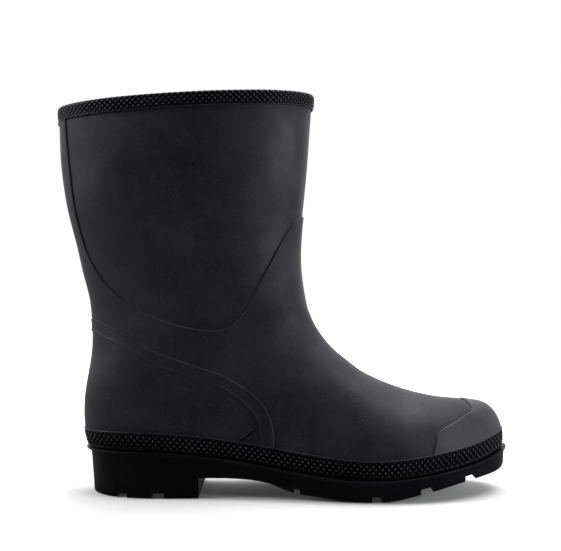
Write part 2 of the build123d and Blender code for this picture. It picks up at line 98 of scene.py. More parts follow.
# Edges on the outer side of the boot; the surface decides the third coordinate. Points seen from the
# back or the front are (y, z), points seen from the side are (x, z). The overlay's edge comes down
# the back strip, crosses the leg and meets its mirror image at the front.
OVERLAY_BACK = [(-22, 262), (-22.4, 250), (-22.9, 236), (-23.2, 222),
                (-23.2, 208), (-22.6, 196), (-21.8, 187), (-21.4, 179)]
OVERLAY_SIDE = [(-134.6, 169.2), (-129.2, 158.3), (-121, 146.8), (-109.6, 136.6), (-96.4, 127.5),
                (-87.4, 123.9), (-74.8, 119.5), (-62.3, 116.4), (-49.8, 114.6), (-40, 115.1),
                (-32.5, 118.9), (-26.3, 125.1), (-18.8, 140), (-12.6, 152.5), (-5.1, 166.5),
                (3.8, 181.8), (9.6, 189.5)]
OVERLAY_FRONT = [(-11, 192.6), (0, 193.4)]
STRAP_UPPER_BACK = [(0, 121.2), (-16, 121.1)]
STRAP_UPPER = [(-123, 119.3), (-109.7, 113.5), (-97.6, 106.9), (-87.5, 101.3), (-74.9, 96.4),
               (-62.4, 92), (-49.9, 87.6), (-37.4, 82.7), (-27.5, 76.5), (-18.8, 70.2),
               (-12.5, 64), (-8.8, 57.7), (-6.4, 51.2), (-5.2, 43), (-4.9, 33)]
STRAP_LOWER_BACK = [(0, 112.4), (-16, 112.2)]
STRAP_LOWER = [(-123, 109.7), (-109.7, 104.6), (-97.6, 98.8), (-87.5, 92.6), (-74.9, 87.6),
               (-62.4, 83.3), (-49.9, 78.9), (-37.4, 73.4), (-27.5, 66.5), (-20, 59),
               (-16.6, 53.6), (-15.3, 50.3), (-14.5, 45), (-13.9, 39), (-13.6, 33)]
# Rear edge of the toe cap on one side, seen from above, as distance from the middle line.
CAP_EDGE = [(127.7, 0), (129, 7), (130.4, 14), (131.6, 20), (131, 22.6), (128.4, 25), (122.5, 30.3),
            (113.2, 37.3), (106.6, 41.7), (104.6, 43.4), (103.6, 45), (101, 49)]
CAP_MIDDLE = 3


# ---------- curves and the boot's surface
class Curve:
    """A smooth curve through points of any dimension."""

    def __init__(self, knots, points):
        self.knots = np.asarray(knots, float)
        self.points = np.asarray(points, float)
        count = len(self.knots)
        flat = self.points.reshape(count, -1)
        step = np.diff(self.knots)
        system = np.zeros((count, count))
        right = np.zeros_like(flat)
        system[0, 0] = system[-1, -1] = 2
        system[0, 1] = system[-1, -2] = 1
        right[0] = 3 * (flat[1] - flat[0]) / step[0]
        right[-1] = 3 * (flat[-1] - flat[-2]) / step[-1]
        for i in range(1, count - 1):
            system[i, i - 1] = 1 / step[i - 1]
            system[i, i] = 2 / step[i - 1] + 2 / step[i]
            system[i, i + 1] = 1 / step[i]
            right[i] = 3 * (
                (flat[i] - flat[i - 1]) / step[i - 1] ** 2 + (flat[i + 1] - flat[i]) / step[i] ** 2
            )
        self.slopes = np.linalg.solve(system, right).reshape(self.points.shape)

    def __call__(self, at):
        at = np.asarray(at, float)
        i = np.clip(np.searchsorted(self.knots, at) - 1, 0, len(self.knots) - 2)
        step = self.knots[i + 1] - self.knots[i]
        t = (at - self.knots[i]) / step
        shape = t.shape + (1,) * (self.points.ndim - 1)
        t, step = t.reshape(shape), step.reshape(shape)
        return (
            (2 * t**3 - 3 * t**2 + 1) * self.points[i]
            + (t**3 - 2 * t**2 + t) * step * self.slopes[i]
            + (3 * t**2 - 2 * t**3) * self.points[i + 1]
            + (t**3 - t**2) * step * self.slopes[i + 1]
        )


def way_along(points):
    """Distance along a line of points, 0 at its first point."""
    return np.concatenate([[0], np.cumsum(np.linalg.norm(np.diff(points, axis=0), axis=1))])


def through(points):
    """A curve through points, with distance along it as its parameter."""
    points = np.asarray(points, float)
    return Curve(way_along(points), points)


def profile(points):
    """Height over x as a smooth function."""
    points = np.asarray(points, float)
    return Curve(points[:, 0], points[:, 1])


feather = profile(FEATHER)
underside_curve = profile(UNDERSIDE)

# Control points of an ellipse-like half section, and how they move as it gets squarer.
HANDLE, HANDLE_GAIN = 0.67, 0.45
PULL, PULL_GAIN = 0.44, 0.65


def section_points(row, grow):
    """Control points of one cross-section, outer side then inner side, each from front to back."""
    front_x, front_z, back_x, back_z, outer, inner, widest, front_round, back_round, lean = row
    length = math.hypot(front_x - back_x, front_z - back_z)
    along = ((front_x - back_x) / length, (front_z - back_z) / length)
    middle_x = back_x + along[0] * length * widest + grow * lean
    middle_z = back_z + along[1] * length * widest
    outward = grow * math.sqrt(1 - lean * lean)
    front = length * (1 - widest) + outward
    back = -length * widest - outward
    front_handle, back_handle = (HANDLE + HANDLE_GAIN * (r - 2) for r in (front_round, back_round))
    front_pull, back_pull = (PULL + PULL_GAIN * (r - 2) for r in (front_round, back_round))
    sides = []
    for width in (-outer - outward, inner + outward):
        flat = [(front, 0), (front, width * front_handle),
                (front * front_pull, width * (1.6 - front_handle / 2)),
                (back * back_pull, width * (1.6 - back_handle / 2)), (back, width * back_handle), (back, 0)]
        sides.append([(middle_x + along[0] * a, y, middle_z + along[1] * a) for a, y in flat])
    return sides


bare = np.array([section_points(row, 0) for row in SECTIONS])
grown = np.array([section_points(row, 1) for row in SECTIONS])
hops = np.linalg.norm(np.diff(bare, axis=0), axis=-1).mean(axis=(1, 2))
row_at = np.concatenate([[0], np.cumsum(hops)])
bare_rows = Curve(row_at, bare)
grow_rows = Curve(row_at, grown - bare)
LAST = row_at[-1]
BINOMIAL = np.array([1, 5, 10, 10, 5, 1], float)

# Slow waves of the rubber sheet: direction, wave length and phase of each.
chance = np.random.default_rng(SEED)
WAVES = []
for _ in range(9):
    direction = chance.normal(size=3)
    direction /= np.linalg.norm(direction)
    WAVES.append((direction, chance.uniform(28, 75), chance.uniform(0, 2 * math.pi)))
WAVE_HEIGHT = 0.075


def surface(s, u, grow=0.0):
    """Points of the boot's form at (s along it, u round it), `grow` outside the bare rubber.

    u is 0 at the back, 0.5 at the front, and below 0.5 on the outer side."""
    s, u, grow = np.broadcast_arrays(np.asarray(s, float), np.asarray(u, float) % 1.0, grow)
    outer = u <= 0.5
    t = np.where(outer, 1 - 2 * u, 2 * u - 1)
    powers = np.arange(6)
    weights = BINOMIAL * t[..., None] ** powers * (1 - t[..., None]) ** (5 - powers)
    sides = np.where(outer, 0, 1)[..., None, None, None]

    def blended(rows):
        rows = np.take_along_axis(rows, np.broadcast_to(sides, rows.shape[:-3] + (1,) + rows.shape[-2:]), -3)
        return (rows[..., 0, :, :] * weights[..., None]).sum(-2)

    points, outward = blended(bare_rows(s)), blended(grow_rows(s))
    wave = sum(np.sin(points @ d * (2 * math.pi / length) + phase) for d, length, phase in WAVES)
    return points + outward * (grow + WAVE_HEIGHT * wave)[..., None]


def over(line, grow=0.0):
    """Points over a line of (s, u)."""
    return surface(line[:, 0], line[:, 1], grow)


def seated(points, rise=0.8):
    """Points moved up onto the feather line where they lie below it."""
    points = points.copy()
    points[..., 2] = np.maximum(points[..., 2], feather(points[..., 0]) + rise)
    return points


def rim_height(points):
    """Height over the rim plane."""
    run = (RIM_FRONT[0] - RIM_BACK[0], RIM_FRONT[1] - RIM_BACK[1])
    length = math.hypot(*run)
    return ((points[..., 2] - RIM_BACK[1]) * run[0] - (points[..., 0] - RIM_BACK[0]) * run[1]) / length


def at_rim_height(u, height):
    """s of the points at u that are `height` over the rim plane."""
    u, height = np.broadcast_arrays(u, height)
    s = np.full(u.shape, row_at[1])
    for _ in range(6):
        here = rim_height(surface(s, u))
        slope = (rim_height(surface(s + 0.5, u)) - here) / 0.5
        s = s - (here - height) / slope
    return s


def near_rim(u, height, grow):
    """Points at u that are `height` over the rim plane and `grow` outside the bare rubber."""
    return surface(at_rim_height(u, height), u, grow)


LOOK_S, LOOK_U = np.meshgrid(np.linspace(0, LAST, 260), np.linspace(0, 1, 361), indexing="ij")
LOOK = surface(LOOK_S, LOOK_U)


def from_behind(points):
    """Points known by y and z."""
    return [(None, y, z) for y, z in points]


def from_side(points):
    """Points known by x and z."""
    return [(x, None, z) for x, z in points]


def locate(target, low, high):
    """(s, u) of a surface point with the known coordinates of target, with u from low to high."""
    known = [k for k in range(3) if target[k] is not None]
    goal = np.array([target[k] for k in known], float)
    cost = ((LOOK[..., known] - goal) ** 2).sum(-1)
    cost[(LOOK_U < low) | (LOOK_U > high)] = 1e9
    at = np.unravel_index(cost.argmin(), cost.shape)
    s, u = LOOK_S[at], LOOK_U[at]
    for _ in range(8):
        here = surface(s, u)[known]
        ds = (surface(s + 0.2, u)[known] - here) / 0.2
        du = (surface(s, u + 0.0005)[known] - here) / 0.0005
        system = np.stack([ds, du], -1)
        if abs(np.linalg.det(system)) < 1e-6:
            break
        move = np.linalg.lstsq(system, goal - here, rcond=None)[0]
        s = float(np.clip(s + np.clip(move[0], -6, 6), 0, LAST))
        u = float(np.clip(u + np.clip(move[1], -0.02, 0.02), low, high))
    return s, u


def placed(groups, mirrored=False):
    """(s, u) of partly known points of the outer side, or of their mirror image.

    Each group is its points and the lowest and highest u that they can have."""
    found = []
    for targets, low, high in groups:
        for x, y, z in targets:
            if mirrored:
                found.append(locate((x, None if y is None else -y, z), 1 - high, 1 - low))
            else:
                found.append(locate((x, y, z), low, high))
    return found


def dense(found, step=0.8):
    """(s, u) points spaced evenly, `step` apart, on a smooth curve through the found ones."""
    found = np.array(found)
    knots = way_along(over(found))
    fine = Curve(knots, found)(np.linspace(0, knots[-1], 4 * int(knots[-1] / step) + 2))
    length = way_along(over(fine))
    even = np.linspace(0, length[-1], int(length[-1] / step) + 1)
    return np.stack([np.interp(even, length, fine[:, 0]), np.interp(even, length, fine[:, 1])], -1)


SLIDE_STEP = 0.6


def slide(curve, distances):
    """(s, u) curves moved sideways over the surface by each distance, to the left of the curve."""
    tangent = np.gradient(over(curve), axis=0)
    tangent /= np.linalg.norm(tangent, axis=1)[:, None]
    result = []
    for target in distances:
        s, u = curve[:, 0].copy(), curve[:, 1].copy()
        steps = int(abs(target) / SLIDE_STEP) + 1
        for _ in range(steps):
            here = surface(s, u)
            ds = (surface(s + 0.3, u) - here) / 0.3
            du = (surface(s, u + 0.0008) - here) / 0.0008
            normal = np.cross(du, -ds)
            normal /= np.linalg.norm(normal, axis=1)[:, None]
            side = np.cross(normal, tangent) * (target / steps)
            a, b, c = (ds * ds).sum(1), (ds * du).sum(1), (du * du).sum(1)
            p, q = (ds * side).sum(1), (du * side).sum(1)
            det = a * c - b * b
            s = s + (c * p - b * q) / det
            u = u + (a * q - b * p) / det
        result.append(np.stack([s, u], -1))
    return np.array(result)


# ---------- meshes
class Net:
    """Grids of points gathered into one mesh."""

    def __init__(self):
        self.points, self.faces, self.maps, self.count = [], [], [], 0

    def grid(self, points, wrap=False, keep=None, flip=False):
        rows, columns = points.shape[:2]
        down = np.linalg.norm(np.diff(points, axis=0), axis=-1).mean(1)
        across = np.linalg.norm(np.diff(points, axis=1), axis=-1).mean(0)
        cloth = np.stack(np.meshgrid(np.append(0, np.cumsum(across)), np.append(0, np.cumsum(down))), -1)
        self.maps.append(cloth.reshape(-1, 2) * MM)
        index = np.arange(rows * columns).reshape(rows, columns) + self.count
        if wrap:
            index = np.hstack([index, index[:, :1]])
        quads = np.stack([index[:-1, :-1], index[1:, :-1], index[1:, 1:], index[:-1, 1:]], -1)
        if keep is not None:
            inside = np.hstack([keep, keep[:, :1]]) if wrap else keep
            cells = inside[:-1, :-1] & inside[1:, :-1] & inside[1:, 1:] & inside[:-1, 1:]
            quads = quads[cells]
        quads = quads.reshape(-1, 4)
        self.faces.append(quads[:, ::-1] if flip else quads)
        self.points.append(points.reshape(-1, 3))
        self.count += rows * columns
        return self

    def build(self, name, material, slot, replaced=(), sharp=40):
        points, faces = np.concatenate(self.points), np.concatenate(self.faces)
        used, faces = np.unique(faces, return_inverse=True)
        faces = faces.reshape(-1, 4)
        flat_map = np.concatenate(self.maps)[used][faces.reshape(-1)]
        mesh = bpy.data.meshes.new(name)
        mesh.from_pydata((points[used] * MM).tolist(), [], faces.tolist())
        mesh.polygons.foreach_set("use_smooth", np.ones(len(mesh.polygons), bool))
        mesh.set_sharp_from_angle(angle=math.radians(sharp))
        mesh.uv_layers.new(name="flat").data.foreach_set("uv", flat_map.astype(np.float32).ravel())
        mesh.materials.append(material)
        piece = bpy.data.objects.new(name, mesh)
        bpy.context.collection.objects.link(piece)
        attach(piece, "root")
        if replaced:
            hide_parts(*replaced)
        return piece


def knurl(along, up, pitch, rise, blunt=1.45):
    """Height from 0 to 1 of staggered diamond pyramids with blunt tops."""
    best = np.zeros(np.broadcast(along, up).shape)
    for shift in (0, 1):
        a = (along / pitch + 0.5 * shift) % 1.0
        b = (up / (2 * rise) + 0.5 * shift) % 1.0
        a, b = np.minimum(a, 1 - a) * 2, np.minimum(b, 1 - b) * 2
        best = np.maximum(best, 1 - a - b)
    return np.clip(best * blunt, 0, 1)


# ---------- materials
COOL_GLOSS = (0.87, 0.86, 1.0, 1)
COOL_SHEEN = (0.90, 0.89, 1.0, 1)


def feed(tree, made, sockets):
    """Give each named socket of a node its constant or its link from another node."""
    for name, value in sockets.items():
        if isinstance(value, bpy.types.NodeSocket):
            tree.links.new(value, made.inputs[name])
        else:
            made.inputs[name].default_value = value
    return made


def shader(name, color, roughness, specular=0.5, sheen=0.0):
    """A material with its nodes: returns it, its node tree and its principled shader."""
    material = bpy.data.materials.new(name)
    material.use_nodes = True
    tree = material.node_tree
    body = feed(tree, tree.nodes["Principled BSDF"], {
        "Base Color": (*color, 1), "Roughness": roughness,
        "Specular IOR Level": specular, "Specular Tint": COOL_GLOSS,
        "Sheen Weight": sheen, "Sheen Roughness": 0.45, "Sheen Tint": COOL_SHEEN,
    })
    return material, tree, body


def add_node(tree, kind, sockets, operation=None):
    """A new shader node with its sockets fed."""
    made = tree.nodes.new("ShaderNode" + kind)
    if operation:
        made.operation = operation
    return feed(tree, made, sockets)


def noise(tree, scale, detail=3.0, roughness=0.55):
    """A noise texture in the object's own space, in cycles per metre."""
    place = add_node(tree, "TexCoord", {}).outputs["Object"]
    sockets = {"Scale": scale, "Detail": detail, "Roughness": roughness, "Vector": place}
    return add_node(tree, "TexNoise", sockets).outputs["Fac"]


def ramp(tree, source, stops):
    """Colours over a value, or greys where a stop's second value is one number."""
    made = add_node(tree, "ValToRGB", {"Fac": source})
    elements = made.color_ramp.elements
    while len(elements) < len(stops):
        elements.new(0.5)
    for element, (at, color) in zip(elements, stops):
        element.position = at
        element.color = (*color, 1) if isinstance(color, tuple) else (color, color, color, 1)
    return made.outputs["Color"]


def bump(tree, body, sources):
    """Bump from (value, strength, height in mm) sources, one over the other."""
    sockets = {}
    for value, strength, height in sources:
        sockets |= {"Strength": strength, "Distance": height * MM, "Height": value}
        sockets["Normal"] = add_node(tree, "Bump", sockets).outputs["Normal"]
    tree.links.new(sockets["Normal"], body.inputs["Normal"])


def rubber(name, dark, light, rough, speckle, sheen, grain, gloss):
    """Black rubber with cloudy bloom, pale dust specks and a fine grain of `grain` mm."""
    material, tree, body = shader(name, dark, rough[0], gloss, sheen)
    cloud = noise(tree, 21.0, 5.0, 0.62)
    specks = noise(tree, 1500.0, 2.0, 0.5)
    patches = noise(tree, 75.0, 3.0, 0.6)
    dusty = add_node(tree, "Mix", {})
    dusty.data_type = "RGBA"
    dusty.blend_type = "ADD"
    feed(tree, dusty, {
        "Factor": ramp(tree, patches, [(0.35, 0.15), (0.65, 1.0)]),
        "A": ramp(tree, cloud, [(0.36, dark), (0.66, light)]),
        "B": ramp(tree, specks, [(0.50, 0.0), (0.74, (speckle, speckle, speckle * 1.08))]),
    })
    feed(tree, body, {
        "Base Color": dusty.outputs["Result"],
        "Specular IOR Level": ramp(tree, cloud, [(0.36, 0.72 * gloss), (0.66, 1.12 * gloss)]),
        "Roughness": ramp(tree, noise(tree, 48.0), [(0.35, rough[0]), (0.70, rough[1])]),
    })
    dents = noise(tree, 90.0, 2.0, 0.5)
    bump(tree, body, [(noise(tree, 700.0, 3.0, 0.6), 0.35, grain), (dents, 0.25, 0.25)])
    return material


def knit(name, dark, light, wale, course, height):
    """Knitted or woven cloth on the piece's flat map: `wale` and `course` are the loop's size in mm."""
    material, tree, body = shader(name, dark, 0.95, 0.2, 0.25)
    place = add_node(tree, "TexCoord", {}).outputs["UV"]
    loops = (math.pi / (wale * MM), math.pi / (course * MM), 0)
    spread = add_node(tree, "VectorMath", {0: place, 1: loops}, operation="MULTIPLY")
    axes = add_node(tree, "SeparateXYZ", {"Vector": spread.outputs["Vector"]})

    def value(operation, *sources):
        return add_node(tree, "Math", dict(enumerate(sources)), operation=operation).outputs[0]

    across = value("ABSOLUTE", value("SINE", axes.outputs["X"]))
    leaning = value("ADD", axes.outputs["Y"], value("MULTIPLY", across, 1.4))
    loop = value("ABSOLUTE", value("SINE", leaning))
    cross = value("MULTIPLY", value("POWER", across, 0.7), loop)
    tree.links.new(ramp(tree, cross, [(0.0, dark), (0.8, light)]), body.inputs["Base Color"])
    bump(tree, body, [(cross, 0.6, height), (noise(tree, 900.0), 0.3, 0.1)])
    return material


# Name: darkest and palest colour, lowest and highest roughness, specks, sheen, grain, gloss.
RUBBERS = {
    "leg": ((0.0022, 0.0021, 0.0031), (0.008, 0.0076, 0.0102), (0.54, 0.64), 0.034, 0.11, 0.1, 0.4),
    "foot": ((0.0028, 0.003, 0.0038), (0.0082, 0.0086, 0.01), (0.56, 0.68), 0.032, 0.11, 0.1, 0.38),
    # Painted light: the cap's rubber is a paler copy of the foot's rubber, for the light that the cap's top
    # and front catch.
    "cap": ((0.0092, 0.009, 0.011), (0.0152, 0.0149, 0.0178), (0.56, 0.66), 0.03, 0.2, 0.1, 0.5),
    # Painted light: the tread's rubber is paler than the sole's, so that the underside, which gets little
    # light, still shows.
    "tread": ((0.003, 0.003, 0.0033), (0.0065, 0.0064, 0.0066), (0.5, 0.62), 0.008, 0, 0.06, 0.22),
    "trim": ((0.001, 0.001, 0.0013), (0.0018, 0.0018, 0.0022), (0.36, 0.46), 0.002, 0, 0.03, 0.26),
    "sole": ((0.0007, 0.0007, 0.0009), (0.0014, 0.0014, 0.0018), (0.36, 0.48), 0.002, 0, 0.04, 0.12),
}
LEG_RUBBER, FOOT_RUBBER, CAP_RUBBER, TREAD_RUBBER, TRIM_RUBBER, SOLE_RUBBER = (
    rubber(name + "_rubber_look", *look) for name, look in RUBBERS.items()
)

# Painted highlight and shade: the knurl's convex tips are painted paler and its hollows darker, for the
# light that the tips catch and the shade in the valleys. The tips are also glossier than the valleys.
tip_tree = TRIM_RUBBER.node_tree
tip_body = tip_tree.nodes["Principled BSDF"]
tips = add_node(tip_tree, "NewGeometry", {}).outputs["Pointiness"]
tip_highlight_and_valley_shade = ramp(tip_tree, tips, [(0.50, (0.0008, 0.0008, 0.0010)), (0.60, (0.034, 0.033, 0.037))])
tip_gloss = ramp(tip_tree, tips, [(0.49, 0.05), (0.58, 0.45)])
feed(tip_tree, tip_body, {"Base Color": tip_highlight_and_valley_shade, "Specular IOR Level": tip_gloss})

LINING_CLOTH = knit("lining_look", (0.016, 0.017, 0.020), (0.055, 0.058, 0.065), 1.3, 1.0, 0.3)
TAPE_CLOTH = knit("tape_look", (0.004, 0.004, 0.005), (0.018, 0.018, 0.020), 0.8, 1.6, 0.2)
BED_CLOTH = knit("bed_cloth_look", (0.030, 0.031, 0.035), (0.080, 0.082, 0.090), 1.1, 0.9, 0.25)
FOAM, foam_tree, foam_body = shader("foam_look", (0.05, 0.05, 0.055), 0.9, 0.3)
bump(foam_tree, foam_body, [(noise(foam_tree, 1400.0, 4.0), 0.5, 0.2)])
THREAD, thread_tree, thread_body = shader("thread_look", (0.05, 0.05, 0.055), 0.7, 0.4, 0.2)
bump(thread_tree, thread_body, [(noise(thread_tree, 2500.0), 0.5, 0.05)])

# ---------- leg and foot sheet
COLUMNS, ROWS = 240, 200
OVERLAY_WALL = 1.0
SHELL_WALL = 2.2
RUBBER_TOP = -1.4  # where the sheet ends under the binding, over the rim plane
BAND_LOW = -9  # where the binding covers the edge of the overlay
grid_u = np.linspace(0, 1, COLUMNS, endpoint=False)
rim_s = at_rim_height(grid_u, RUBBER_TOP)
grid_s = rim_s + (LAST - rim_s) * np.linspace(0, 1, ROWS)[:, None]
U = np.broadcast_to(grid_u, grid_s.shape)
bare_points = surface(grid_s, U)
overlay_points = surface(grid_s, U, OVERLAY_WALL)


def curve_distance(points, curve):
    """Distance of each point to a dense (s, u) curve on the surface."""
    spots = over(curve)
    flat = points.reshape(-1, 3)
    result = np.empty(len(flat))
    batch = 4000
    for start in range(0, len(flat), batch):
        part = flat[start:start + batch]
        result[start:start + batch] = np.sqrt(((part[:, None] - spots[None, ::2]) ** 2).sum(-1).min(1))
    return result.reshape(points.shape[:-1])


def lifted(curve, steps, side):
    """Strip of points along a curve, from (sideways distance, grow) steps; side is 1 for the left."""
    moved = slide(curve, [side * d for d, g in steps])
    return np.stack([over(line, g) for line, (d, g) in zip(moved, steps)])


coarse = (slice(None, None, 3),) * 2
leg = Net().grid(seated(bare_points), wrap=True)
leg.grid(seated(surface(grid_s[coarse], U[coarse], -SHELL_WALL)), wrap=True, flip=True)
leg.build("leg_rubber", LEG_RUBBER, "leg_rubber", ["upper_shell"])

# ---------- overlay on the foot, with the back strip
OVERLAY_EDGE = [(from_behind(OVERLAY_BACK), 0, 0.2), (from_side(OVERLAY_SIDE), 0, 0.5),
                (from_behind(OVERLAY_FRONT), 0.4, 0.5)]
# Half width of the back strip over z.
STRIP_Z = [170, 187, 196, 208, 236, 250, 290]
STRIP_HALF = [21.2, 21.8, 22.6, 23.2, 22.9, 22.4, 22]
BACK_END, FRONT_END = (-141, 188), (17, 194.5)  # ends of the side's line, past the overlay's edge
EDGE_CLEAR = 1.3  # the grid stops this far from the edge, and a ribbon of EDGE_STEPS goes on
EDGE_STEPS = [(-0.25, -0.1), (-0.16, 0.25), (-0.02, 0.62), (0.22, 0.9), (0.55, 1.06), (0.95, 1.12),
              (1.4, 1.1), (1.9, 1.05), (2.6, 1.035), (3.6, 1.03), (4.6, 1.02), (5.2, 0.97)]
edge_outer = dense(placed(OVERLAY_EDGE))
edge_inner = dense(placed(OVERLAY_EDGE, mirrored=True))
edge_line = profile([BACK_END] + OVERLAY_SIDE + [FRONT_END])
bare_x, bare_y, bare_z = np.moveaxis(bare_points, -1, 0)
corner_x, corner_z = OVERLAY_SIDE[0]
below_edge = (bare_x > corner_x) & (bare_z < edge_line(np.clip(bare_x, BACK_END[0], FRONT_END[0])))
in_strip = (bare_x < -100) & (np.abs(bare_y) < np.interp(bare_z, STRIP_Z, STRIP_HALF))
behind = (bare_x <= corner_x) & (bare_z < corner_z)
inside = (below_edge | in_strip | behind) & (rim_height(bare_points) < BAND_LOW)
away = np.minimum(curve_distance(bare_points, edge_outer), curve_distance(bare_points, edge_inner))
overlay = Net().grid(seated(overlay_points), wrap=True, keep=inside & (away > EDGE_CLEAR))
overlay.grid(seated(lifted(edge_outer, EDGE_STEPS, -1)))
overlay.grid(seated(lifted(edge_inner, EDGE_STEPS, 1)), flip=True)
overlay.build("foot_overlay_rubber", FOOT_RUBBER, "overlay_rubber", ["foot_overlay"], sharp=55)

# ---------- ankle strap
STRAP_COUNT = 620
FOXING_COVER = 12.7  # strap and cap end this far over the feather line, behind the foxing strip
STRAP_STEPS = [(-0.3, 0.9), (-0.15, 1.15), (0.1, 1.48), (0.42, 1.7), (0.8, 1.76), (1.15, 1.7),
               (1.5, 1.54), (1.8, 1.43), (2.2, 1.4), (2.7, 1.43)]
STRAP_MIDDLE = 1.44


def strap_line(back, side):
    """(s, -u) round the back, from the waist on the outer side to the waist on the inner side."""
    groups = [(from_behind(back), 0.0, 0.2), (from_side(side), 0.0, 0.5)]
    outer = placed(groups)
    inner = placed(groups, mirrored=True)
    found = outer[:0:-1] + [(outer[0][0], 0.0)] + [(s, u - 1.0) for s, u in inner[1:]]
    found = np.array([(s, -u) for s, u in found])
    knots = way_along(surface(found[:, 0], -found[:, 1]))
    return Curve(knots / knots[-1], found)(np.linspace(0, 1, STRAP_COUNT))


upper_line = strap_line(STRAP_UPPER_BACK, STRAP_UPPER)
lower_line = strap_line(STRAP_LOWER_BACK, STRAP_LOWER)
upper_spots, lower_spots = (surface(line[:, 0], -line[:, 1]) for line in (upper_line, lower_line))
width = np.linalg.norm(upper_spots - lower_spots, axis=1)
shares_across = [((d / width)[:, None], g) for d, g in STRAP_STEPS]
shares_across += [(part, STRAP_MIDDLE) for part in (0.42, 0.5, 0.58)]
shares_across += [((1 - d / width)[:, None], g) for d, g in STRAP_STEPS[::-1]]
strap = []
for part, g in shares_across:
    line = upper_line + (lower_line - upper_line) * part
    strap.append(surface(line[:, 0], -line[:, 1], g))
strap_net = Net().grid(seated(np.array(strap), FOXING_COVER))
strap_net.build("ankle_strap_rubber", FOOT_RUBBER, "overlay_rubber", ["ankle_strap"], sharp=55)

# ---------- toe cap
CAP_GROW = 1.8
CAP_CLEAR = 1.6
CAP_STEPS = [(-0.2, 0.9), (-0.12, 1.2), (0.02, 1.52), (0.22, 1.76), (0.55, 1.9), (0.95, 1.93), (1.4, 1.88),
             (2, 1.84), (3, 1.835), (4.2, 1.83), (5.2, 1.77)]
cap_found = [locate((x, CAP_MIDDLE - y, None), 0.25, 0.5) for x, y in CAP_EDGE[::-1]]
cap_found += [locate((x, CAP_MIDDLE + y, None), 0.5, 0.75) for x, y in CAP_EDGE[1:]]
cap_line = dense(cap_found, 0.6)
cap_spots = over(cap_line)
order = np.argsort(cap_spots[:, 1])
cap_x = np.interp(bare_y, cap_spots[order, 1], cap_spots[order, 0])
between = (bare_y > cap_spots[:, 1].min()) & (bare_y < cap_spots[:, 1].max())
cap_inside = (bare_x > cap_x) & (between | (bare_x > 100)) & (bare_z > 20)
cap_away = curve_distance(bare_points, cap_line)
cap_points = seated(surface(grid_s, U, CAP_GROW), FOXING_COVER)
cap = Net().grid(cap_points, wrap=True, keep=cap_inside & (cap_away > CAP_CLEAR))
cap.grid(seated(lifted(cap_line, CAP_STEPS, -1), FOXING_COVER))
cap.build("toe_cap_rubber", CAP_RUBBER, "overlay_rubber", ["toe_cap"], sharp=55)


# ---------- sole's plan and the path round the foot
plan = SOLE_PLAN + [SOLE_PLAN[0]]
wrapped = through(SOLE_PLAN[-3:] + plan + SOLE_PLAN[1:4])
around_low, around_high = wrapped.knots[3], wrapped.knots[3 + len(SOLE_PLAN)]


def plan_at(share_round):
    """Plan point and outward normal at a share of the way round, from the middle of the heel."""
    at = around_low + (around_high - around_low) * (np.asarray(share_round) % 1.0)
    spot = wrapped(at)
    run = wrapped(at + 0.5) - wrapped(at - 0.5)
    run /= np.linalg.norm(run, axis=-1)[..., None]
    return spot, np.stack([run[..., 1], -run[..., 0]], -1)


def tree_of(points):
    """A closed grid of points as something that rays can hit."""
    net = Net().grid(points, wrap=True)
    corners = np.concatenate(net.points)
    return BVHTree.FromPolygons([Vector(p) for p in corners], np.concatenate(net.faces).tolist())


hull = tree_of(overlay_points)
KNURL_PITCH = 4.1
KNURL_RISE = 2.4
PER_DIAMOND = 8
RAY_START = 30


def wall_points(shares, heights):
    """Points of the foot's outer wall at heights above the feather line, found by rays from outside."""
    spot, normal = plan_at(shares)
    result = np.zeros((len(heights), len(shares), 3))
    for j in range(len(shares)):
        start = spot[j] + RAY_START * normal[j]
        inward = Vector((-normal[j][0], -normal[j][1], 0))
        x = spot[j][0]
        for i, height in enumerate(heights):
            for _ in range(2):
                z = float(feather(x)) + height
                hit = hull.ray_cast(Vector((*start, z)), inward)[0] or Vector((*spot[j], z))
                x = hit.x
            result[i, j] = (hit.x, hit.y, float(feather(hit.x)) + height)
    return result


def smoothed(points, reach):
    """Points averaged with their neighbours along a closed path."""
    weights = np.hanning(2 * reach + 3)[1:-1]
    weights /= weights.sum()
    padded = np.concatenate([points[:, -reach:], points, points[:, :reach]], axis=1)
    return sum(w * padded[:, k:k + points.shape[1]] for k, w in enumerate(weights))


def diamond_places(way, at, pitch):
    """Places for a whole number of diamonds round a closed way, and the distance to each."""
    count = round(way[-1] / pitch) * PER_DIAMOND
    even = np.linspace(0, way[-1], count, endpoint=False)
    return np.interp(even, way, at), np.arange(count) / PER_DIAMOND * pitch


KNURL_MIDDLE = 7.0
FIRST_COUNT = 400
first = smoothed(wall_points(np.linspace(0, 1, FIRST_COUNT, endpoint=False), [KNURL_MIDDLE]), 3)[0]
way = way_along(np.vstack([first, first[:1]]))
shares, ridge_way = diamond_places(way, np.linspace(0, 1, FIRST_COUNT + 1), KNURL_PITCH)
# Rows of the strip: a bead below the diamonds, the diamonds, and a bead above them.
KNURL_ROWS = 29
LOW_BEAD = [(1.2, -0.3), (1.2, 0.55), (1.35, 0.7), (1.7, 0.75)]
HIGH_BEAD = [(12.15, 0.75), (12.35, 0.9), (12.75, 1.0), (13.05, 0.9), (13.2, 0.6), (13.2, -0.3)]
knurl_rows = [(h, 0.0) for h in np.linspace(2.1, 12.0, KNURL_ROWS)]
heights, bead = np.array(LOW_BEAD + knurl_rows + HIGH_BEAD).T
levels, place = np.unique(heights, return_inverse=True)
base = smoothed(wall_points(shares, levels.tolist()), 5)[place]
plan_normal = plan_at(shares)[1]
outward = np.concatenate([plan_normal, np.zeros((len(shares), 1))], axis=1)
ridges = knurl(ridge_way[None], (heights - KNURL_MIDDLE)[:, None], KNURL_PITCH, KNURL_RISE, 1.2) ** 1.3
in_knurl = (heights > 2.0) & (heights < 12.01)
